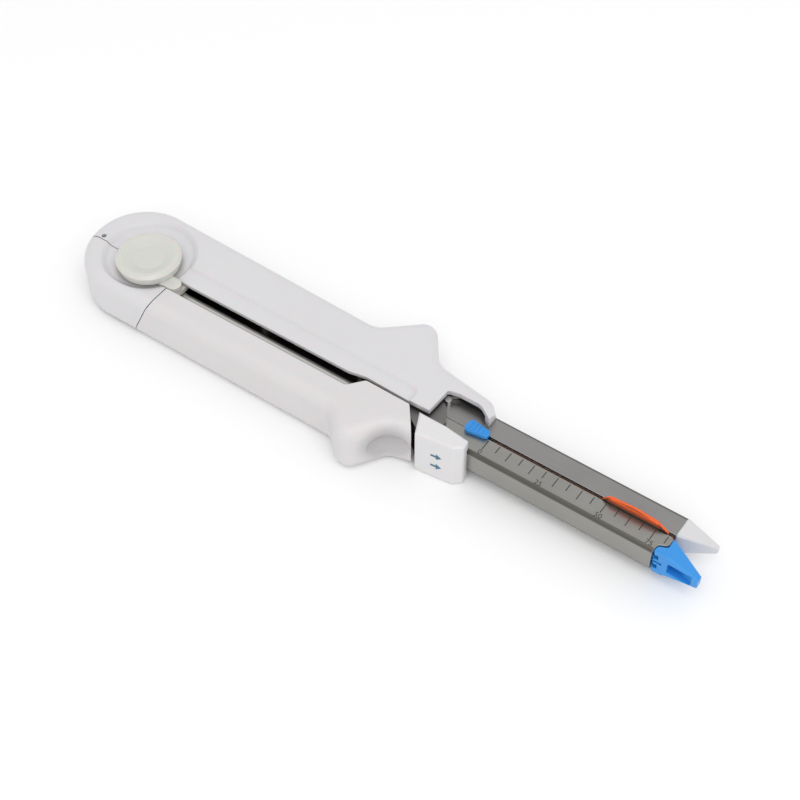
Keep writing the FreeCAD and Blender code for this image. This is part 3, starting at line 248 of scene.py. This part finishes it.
def slab(name, outline, low, high, finish, body):
    """A thin printed or moulded form with this outline in x and y, between two heights."""
    count = len(outline)
    points = [(x, y, low) for x, y in outline] + [(x, y, high) for x, y in outline]
    faces = [tuple(range(count - 1, -1, -1)), tuple(range(count, 2 * count))]
    for corner in range(count):
        after = (corner + 1) % count
        faces.append((corner, after, after + count, corner + count))
    mesh = bpy.data.meshes.new(name)
    mesh.from_pydata(points, [], faces)
    mesh.update()
    piece = bpy.data.objects.new(name, mesh)
    bpy.context.scene.collection.objects.link(piece)
    mesh.materials.append(finish)
    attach(piece, body)
    return piece


def cross_mark(at, half_width, low, high):
    """The outline of a narrow mark that runs across the length."""
    return [(at - half_width, low), (at + half_width, low), (at + half_width, high),
            (at - half_width, high)]


def etched_mark(name, dark, light):
    """The dull dark tone that laser etching leaves on steel."""
    speckles_per_metre = 2600.0
    finish = bpy.data.materials.new(name)
    finish.use_nodes = True
    tree = finish.node_tree
    shader = tree.nodes["Principled BSDF"]
    shader.inputs["Metallic"].default_value = 0.6
    place = add(tree, "ShaderNodeTexCoord")
    speckle = add(tree, "ShaderNodeTexNoise")
    speckle.inputs["Scale"].default_value = speckles_per_metre
    tone = add(tree, "ShaderNodeMix", data_type="RGBA")
    tone.inputs["A"].default_value = (*dark, 1)
    tone.inputs["B"].default_value = (*light, 1)
    dull = add(tree, "ShaderNodeMapRange")
    dull.inputs["To Min"].default_value = 0.45
    dull.inputs["To Max"].default_value = 0.7
    link = tree.links.new
    link(place.outputs["Object"], speckle.inputs["Vector"])
    link(speckle.outputs["Fac"], tone.inputs["Factor"])
    link(speckle.outputs["Fac"], dull.inputs["Value"])
    link(tone.outputs["Result"], shader.inputs["Base Color"])
    link(dull.outputs["Result"], shader.inputs["Roughness"])
    return finish


etching = etched_mark("etched_scale", (0.03, 0.03, 0.03), (0.10, 0.10, 0.10))
channel_low, channel_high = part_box("cartridge_channel")
channel_side = channel_high.z
middle_height = (channel_low.z + channel_high.z) / 2
zero_to_jaw_end = 0.0770
scale_zero = channel_high.x - zero_to_jaw_end
mark_step = 0.005
mark_count = 16
long_mark = 0.0046
short_mark = 0.0034
mark_half_width = 0.00019
mark_top = channel_high.y - 0.00055
etching_deep = 0.00005
etching_proud = 0.00003
for number in range(mark_count):
    length = long_mark if number % 2 == 0 else short_mark
    outline = cross_mark(scale_zero + mark_step * number, mark_half_width, mark_top - length,
                         mark_top)
    slab("scale_mark_%02d" % number, outline, channel_side - etching_deep,
         channel_side + etching_proud, etching, "cartridge_half")

number_size = 0.0030
number_foot = channel_low.y + 0.0015
last_number = 0.0705  # a little before its mark, clear of the reload's nose
for number in (0, 25, 50, 75):
    curve = bpy.data.curves.new("number_%02d" % number, "FONT")
    curve.body = str(number)
    curve.size = number_size
    curve.align_x = "CENTER"
    curve.extrude = etching_proud
    written = bpy.data.objects.new("scale_number_%02d" % number, curve)
    bpy.context.scene.collection.objects.link(written)
    along = min(number / 1000, last_number)
    written.location = (scale_zero + along, number_foot, channel_side)
    curve.materials.append(etching)
    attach(written, "cartridge_half")


# Pins, screws and rivets. Turned from stainless bar or headed from wire, a little brighter than
# the strip. They are pressed into the plastic halves.

pin_steel = steel("pin_steel", (0.38, 0.38, 0.37), (0.55, 0.55, 0.54), smooth=0.18, rough=0.34,
                  edge=0.00015)
for node in ("pivot_pin", "housing_screws", "cover_rivets", "lever_rivets", "latch_pin",
             "rear_pin", "anvil_pins", "slide_pin"):
    dress(node, pin_steel)


# Bar guide. A black moulded block with a slightly grainy skin that keeps the bars and the knife
# apart at the front of the handle. It is pressed into the channel.


def moulded_skin():
    """Moulded plastic: slow clouds of tone, fine mould grain and a change in gloss."""
    tree, enter, leave = surface_group(
        "Moulded skin",
        [
            ("Colour", "NodeSocketColor", (0.7, 0.7, 0.7, 1)),
            ("Shade", "NodeSocketColor", (0.66, 0.66, 0.66, 1)),
            ("Cloud size", "NodeSocketFloat", 30.0),
            ("Grain size", "NodeSocketFloat", 2400.0),
            ("Glossy", "NodeSocketFloat", 0.3),
            ("Dull", "NodeSocketFloat", 0.45),
        ],
        [("Colour", "NodeSocketColor"), ("Roughness", "NodeSocketFloat"),
         ("Height", "NodeSocketFloat")],
    )
    link = tree.links.new
    place = add(tree, "ShaderNodeTexCoord")
    cloud = add(tree, "ShaderNodeTexNoise")
    cloud.inputs["Detail"].default_value = 3.0
    grain = add(tree, "ShaderNodeTexNoise")
    grain.inputs["Detail"].default_value = 2.0
    tone = add(tree, "ShaderNodeMix", data_type="RGBA")
    gloss = add(tree, "ShaderNodeMix", data_type="FLOAT")
    link(place.outputs["Object"], cloud.inputs["Vector"])
    link(place.outputs["Object"], grain.inputs["Vector"])
    link(enter.outputs["Cloud size"], cloud.inputs["Scale"])
    link(enter.outputs["Grain size"], grain.inputs["Scale"])
    link(cloud.outputs["Fac"], tone.inputs["Factor"])
    link(enter.outputs["Shade"], tone.inputs["A"])
    link(enter.outputs["Colour"], tone.inputs["B"])
    link(cloud.outputs["Fac"], gloss.inputs["Factor"])
    link(enter.outputs["Glossy"], gloss.inputs["A"])
    link(enter.outputs["Dull"], gloss.inputs["B"])
    link(tone.outputs["Result"], leave.inputs["Colour"])
    link(gloss.outputs["Result"], leave.inputs["Roughness"])
    link(grain.outputs["Fac"], leave.inputs["Height"])
    return tree


skin_group = moulded_skin()


def plastic(name, colour, shade, glossy=0.32, dull=0.46, edge=0.0005, highlight_tone=1.06,
            clear=0.0, inner_glow=0.0):
    """A moulded plastic finish."""
    glow_depth = 0.002
    grain_strength = 0.3
    grain_depth = 0.00002
    finish = bpy.data.materials.new(name)
    finish.use_nodes = True
    tree = finish.node_tree
    shader = tree.nodes["Principled BSDF"]
    shader.inputs["IOR"].default_value = 1.49
    shader.inputs["Subsurface Weight"].default_value = inner_glow
    shader.inputs["Subsurface Scale"].default_value = glow_depth
    shader.inputs["Coat Weight"].default_value = clear
    skin = add(tree, "ShaderNodeGroup", node_tree=skin_group)
    skin.inputs["Colour"].default_value = (*colour, 1)
    skin.inputs["Shade"].default_value = (*shade, 1)
    skin.inputs["Glossy"].default_value = glossy
    skin.inputs["Dull"].default_value = dull
    edges = add(tree, "ShaderNodeGroup", node_tree=edge_group)
    edges.inputs["Radius"].default_value = edge
    # Edges are mixed towards a lighter tone, a painted highlight.
    edge_highlight = add(tree, "ShaderNodeMix", data_type="RGBA")
    edge_highlight.inputs["B"].default_value = (*[min(1.0, tint * highlight_tone) for tint in colour], 1)
    bump = add(tree, "ShaderNodeBump")
    bump.inputs["Strength"].default_value = grain_strength
    bump.inputs["Distance"].default_value = grain_depth
    link = tree.links.new
    link(edges.outputs["Highlight mask"], edge_highlight.inputs["Factor"])
    link(skin.outputs["Colour"], edge_highlight.inputs["A"])
    link(edge_highlight.outputs["Result"], shader.inputs["Base Color"])
    link(skin.outputs["Roughness"], shader.inputs["Roughness"])
    link(skin.outputs["Height"], bump.inputs["Height"])
    link(edges.outputs["Normal"], bump.inputs["Normal"])
    link(bump.outputs["Normal"], shader.inputs["Normal"])
    return finish


black_plastic = plastic("black_plastic", (0.012, 0.011, 0.011), (0.008, 0.007, 0.007),
                        glossy=0.4, dull=0.6)
dress("bar_guide", black_plastic)


# Rear housing and front cover. White moulded covers with a satin skin, fixed to the channel by
# screws and rivets. The front cover gets a lighter copy of the white, a painted light, and holds
# the lever's pivot.


def little_light():
    """Little light comes back from where a piece lies between close walls."""
    tree, enter, leave = surface_group(
        "Little light",
        [
            ("Colour", "NodeSocketColor", (0.7, 0.7, 0.7, 1)),
            ("Shade", "NodeSocketColor", (0.5, 0.5, 0.5, 1)),
            ("Reach", "NodeSocketFloat", 0.003),
        ],
        [("Colour", "NodeSocketColor")],
    )
    nearly_open = 0.96
    well_shut = 0.66
    open_air = add(tree, "ShaderNodeAmbientOcclusion", samples=8)
    dark = add(tree, "ShaderNodeMapRange")
    dark.inputs["From Min"].default_value = nearly_open
    dark.inputs["From Max"].default_value = well_shut
    low = add(tree, "ShaderNodeMix", data_type="RGBA", blend_type="MULTIPLY")
    link = tree.links.new
    link(enter.outputs["Reach"], open_air.inputs["Distance"])
    link(open_air.outputs["AO"], dark.inputs["Value"])
    link(dark.outputs["Result"], low.inputs["Factor"])
    link(enter.outputs["Colour"], low.inputs["A"])
    link(enter.outputs["Shade"], low.inputs["B"])
    link(low.outputs["Result"], leave.inputs["Colour"])
    return tree


little_light_group = little_light()


def shut_in(finish, reach, tone):
    """Darken a finish where the piece is shut in by walls this close."""
    tree = finish.node_tree
    shader = tree.nodes["Principled BSDF"]
    low = add(tree, "ShaderNodeGroup", node_tree=little_light_group)
    low.inputs["Reach"].default_value = reach
    low.inputs["Shade"].default_value = (*tone, 1)
    before = shader.inputs["Base Color"].links[0].from_socket
    tree.links.new(before, low.inputs["Colour"])
    tree.links.new(low.outputs["Colour"], shader.inputs["Base Color"])


white_plastic = plastic("white_plastic", (0.675, 0.665, 0.68), (0.64, 0.63, 0.645),
                        inner_glow=0.15)
shut_in(white_plastic, reach=0.0030, tone=(0.74, 0.73, 0.72))
dress("rear_housing", white_plastic)
# A lighter copy of the white plastic for the front cover, painted light.
lit_cover_plastic = plastic("lit_cover_plastic", (0.715, 0.705, 0.715), (0.68, 0.67, 0.68),
                        inner_glow=0.15)
dress("front_cover", lit_cover_plastic)


# Direction marks. Two small plain arrows moulded in blue on the edge of the front cover. They
# point along the jaws.

mark_blue = plastic("mark_blue", (0.055, 0.16, 0.24), (0.04, 0.12, 0.19), edge=0.0001)
tail = 0.0022
neck = 0.0001
point = 0.0024
shaft_half = 0.0005
head_half = 0.0016
arrow_outline = [(-tail, -shaft_half), (neck, -shaft_half), (neck, -head_half), (point, 0.0),
                 (neck, head_half), (neck, shaft_half), (-tail, shaft_half)]
arrow_deep = 0.00012
arrow_proud = 0.00006
arrow_x = scale_zero - 0.0135
arrow_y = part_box("front_cover")[0].y + 0.00102
edge_slant = math.atan2(0.0018, 0.0154)
upright = Matrix.Rotation(math.radians(90), 4, "X")
along_edge = Matrix.Rotation(edge_slant, 4, "Z") @ upright
for number, height in enumerate((middle_height + 0.0019, middle_height - 0.0038)):
    arrow = slab("arrow_mark_%d" % number, arrow_outline, -arrow_deep, arrow_proud, mark_blue,
                 "cartridge_half")
    arrow.data.transform(along_edge)
    arrow.data.transform(Matrix.Translation((arrow_x, arrow_y, height)))


# Locking lever. A white moulded trough with a finger wing, a touch warmer than the other covers.
# Two pressed steel plates are riveted inside it and carry the closing hooks.

lever_plastic = plastic("lever_plastic", (0.675, 0.655, 0.66), (0.64, 0.62, 0.625),
                        inner_glow=0.15)
dress("lever_shell", lever_plastic)


def handled_hollow(finish, node, middle, full, none, tone):
    """Painted shade: the skin is darkened softly in a hollow, around this point of the piece."""
    tree = finish.node_tree
    shader = tree.nodes["Principled BSDF"]
    place = add(tree, "ShaderNodeTexCoord")
    away = add(tree, "ShaderNodeVectorMath", operation="DISTANCE")
    away.inputs[1].default_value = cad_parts[node].matrix_world.inverted() @ Vector(middle)
    soft = add(tree, "ShaderNodeMapRange", interpolation_type="SMOOTHSTEP")
    soft.inputs["From Min"].default_value = none
    soft.inputs["From Max"].default_value = full
    # Painted shade: the colour is multiplied darker towards the point.
    dull = add(tree, "ShaderNodeMix", data_type="RGBA", blend_type="MULTIPLY")
    dull.inputs["B"].default_value = (tone, tone, tone, 1)
    before = shader.inputs["Base Color"].links[0].from_socket
    link = tree.links.new
    link(place.outputs["Object"], away.inputs[0])
    link(away.outputs["Value"], soft.inputs["Value"])
    link(soft.outputs["Result"], dull.inputs["Factor"])
    link(before, dull.inputs["A"])
    link(dull.outputs["Result"], shader.inputs["Base Color"])


# Painted shade in the finger scoop on the lever's wing.
scoop_middle = (scale_zero - 0.0290, -0.0250, middle_height + 0.0010)
handled_hollow(lever_plastic, "lever_shell", scoop_middle, full=0.005, none=0.0135, tone=0.54)
plate_steel = steel("plate_steel", (0.16, 0.155, 0.15), (0.26, 0.255, 0.25), smooth=0.3,
                    rough=0.5)
dress("hook_plate_top", plate_steel)
dress("hook_plate_bottom", plate_steel)


# Anvil half. A white moulded shell on a second folded channel, with the steel anvil plate in its
# jaw and a white moulded tip.

dress("anvil_shell", white_plastic)
dress("anvil_channel", channel_steel)
anvil_steel = steel("anvil_steel", (0.28, 0.27, 0.26), (0.40, 0.39, 0.38), smooth=0.2,
                    rough=0.35)
dress("anvil_plate", anvil_steel)
tip_plastic = plastic("tip_plastic", (0.65, 0.65, 0.66), (0.62, 0.62, 0.63), inner_glow=0.2)
dress("anvil_tip", tip_plastic)


# Firing slide. A steel block with two bars and a ground knife runs in the channel. A moulded arm
# reaches out through the slot and carries the round, dished, slightly cream knob.

bar_steel = steel("bar_steel", (0.10, 0.10, 0.10), (0.17, 0.17, 0.165), smooth=0.3, rough=0.45)
for node in ("slide_block", "cam_bar_top", "cam_bar_bottom"):
    dress(node, bar_steel)
blade_steel = steel("blade_steel", (0.45, 0.45, 0.45), (0.62, 0.62, 0.62), smooth=0.12,
                    rough=0.22, edge=0.0001)
dress("knife", blade_steel)
knob_plastic = plastic("knob_plastic", (0.645, 0.65, 0.605), (0.60, 0.605, 0.56),
                       glossy=0.2, dull=0.32, inner_glow=0.3, clear=0.1)
dress("firing_knob", knob_plastic)
dress("knob_arm", knob_plastic)


# Reload. A blue moulded cartridge with its nose at the jaw's end and two ridged finger tabs. The
# drivers are moulded and the staples are bent from titanium wire.

blue_plastic = plastic("blue_plastic", (0.035, 0.29, 0.74), (0.028, 0.25, 0.66),
                       glossy=0.25, dull=0.4, edge=0.0004, highlight_tone=1.4)
dress("cartridge_body", blue_plastic)
driver_plastic = plastic("driver_plastic", (0.72, 0.72, 0.70), (0.66, 0.66, 0.64))
dress("staple_drivers", driver_plastic)
staple_wire = steel("staple_wire", (0.42, 0.41, 0.40), (0.58, 0.57, 0.56), smooth=0.2, rough=0.3,
                    edge=0.00005)
dress("staples", staple_wire)

ridge_count = 5
ridge_step = 0.0017
ridge_half_width = 0.00035
first_ridge = scale_zero - 0.0090
first_reach = 0.0022
reach_taper = 0.00012
ridge_deep = 0.0002
ridge_proud = 0.0003
reload_low, reload_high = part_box("cartridge_body")
tab_faces = (
    (reload_high.z - ridge_deep, reload_high.z + ridge_proud),
    (reload_low.z - ridge_proud, reload_low.z + ridge_deep),
)
for side, (low, high) in enumerate(tab_faces):
    for number in range(ridge_count):
        reach = first_reach - reach_taper * number
        outline = cross_mark(first_ridge + ridge_step * number, ridge_half_width, -reach, reach)
        slab("tab_ridge_%d_%d" % (side, number), outline, low, high, blue_plastic, "reload")


# Retaining cap. A thin orange strip between the closed jaws that covers the staples until the
# stapler is used, with a flat side grip.

orange_plastic = plastic("orange_plastic", (0.86, 0.125, 0.016), (0.78, 0.10, 0.011),
                         glossy=0.3, dull=0.42, edge=0.0003, highlight_tone=1.15, inner_glow=0.2)
dress("retaining_cap", orange_plastic)
shut_in(orange_plastic, reach=0.004, tone=(0.05, 0.20, 0.9))


# Studio. A plain pale floor in even white light, with one wide soft light above it. The camera
# looks down from beside the jaws.

floor_reach = 6.0
floor_drop = 0.0001
floor_mesh = bpy.data.meshes.new("floor")
floor_mesh.from_pydata([(-floor_reach, -floor_reach, 0), (floor_reach, -floor_reach, 0),
                        (floor_reach, floor_reach, 0), (-floor_reach, floor_reach, 0)],
                       [], [(0, 1, 2, 3)])
floor = bpy.data.objects.new("floor", floor_mesh)
bpy.context.scene.collection.objects.link(floor)
floor.location.z = -floor_drop
paper = bpy.data.materials.new("paper")
paper.use_nodes = True
paper_shader = paper.node_tree.nodes["Principled BSDF"]
paper_shader.inputs["Base Color"].default_value = (0.93, 0.93, 0.93, 1)
paper_shader.inputs["Roughness"].default_value = 0.9
floor_mesh.materials.append(paper)

world = bpy.data.worlds.new("studio")
world.use_nodes = True
sky = world.node_tree.nodes["Background"]
sky.inputs["Color"].default_value = (1, 1, 1, 1)
sky.inputs["Strength"].default_value = 0.85
bpy.context.scene.world = world

lamp = bpy.data.lights.new("overhead_light", "AREA")
lamp.shape = "RECTANGLE"
lamp.size = 1.6
lamp.size_y = 1.6
lamp.energy = 14
lamp_holder = bpy.data.objects.new("overhead_light", lamp)
bpy.context.scene.collection.objects.link(lamp_holder)
lamp_place = Vector((0.7, -0.7, 1.7))
lamp_holder.location = lamp_place
lamp_holder.rotation_mode = "QUATERNION"
lamp_holder.rotation_quaternion = (-lamp_place).to_track_quat("-Z", "Y")

camera = bpy.data.cameras.new("camera")
camera.sensor_width = 36.0
camera.lens = 72.18
camera.clip_start = 0.01
camera_holder = bpy.data.objects.new("camera", camera)
bpy.context.scene.collection.objects.link(camera_holder)
azimuth = math.radians(34.9)
elevation = math.radians(50.0)
back = Vector((math.sin(azimuth) * math.cos(elevation), -math.cos(azimuth) * math.cos(elevation),
               math.sin(elevation)))
camera_from_scale = (0.18350, -0.3213, 0.4672)
camera_holder.location = Vector((scale_zero, 0.0, middle_height)) + Vector(camera_from_scale)
camera_holder.rotation_mode = "QUATERNION"
camera_holder.rotation_quaternion = (-back).to_track_quat("-Z", "Y")
bpy.context.scene.camera = camera_holder

bpy.context.scene.view_settings.view_transform = "Standard"
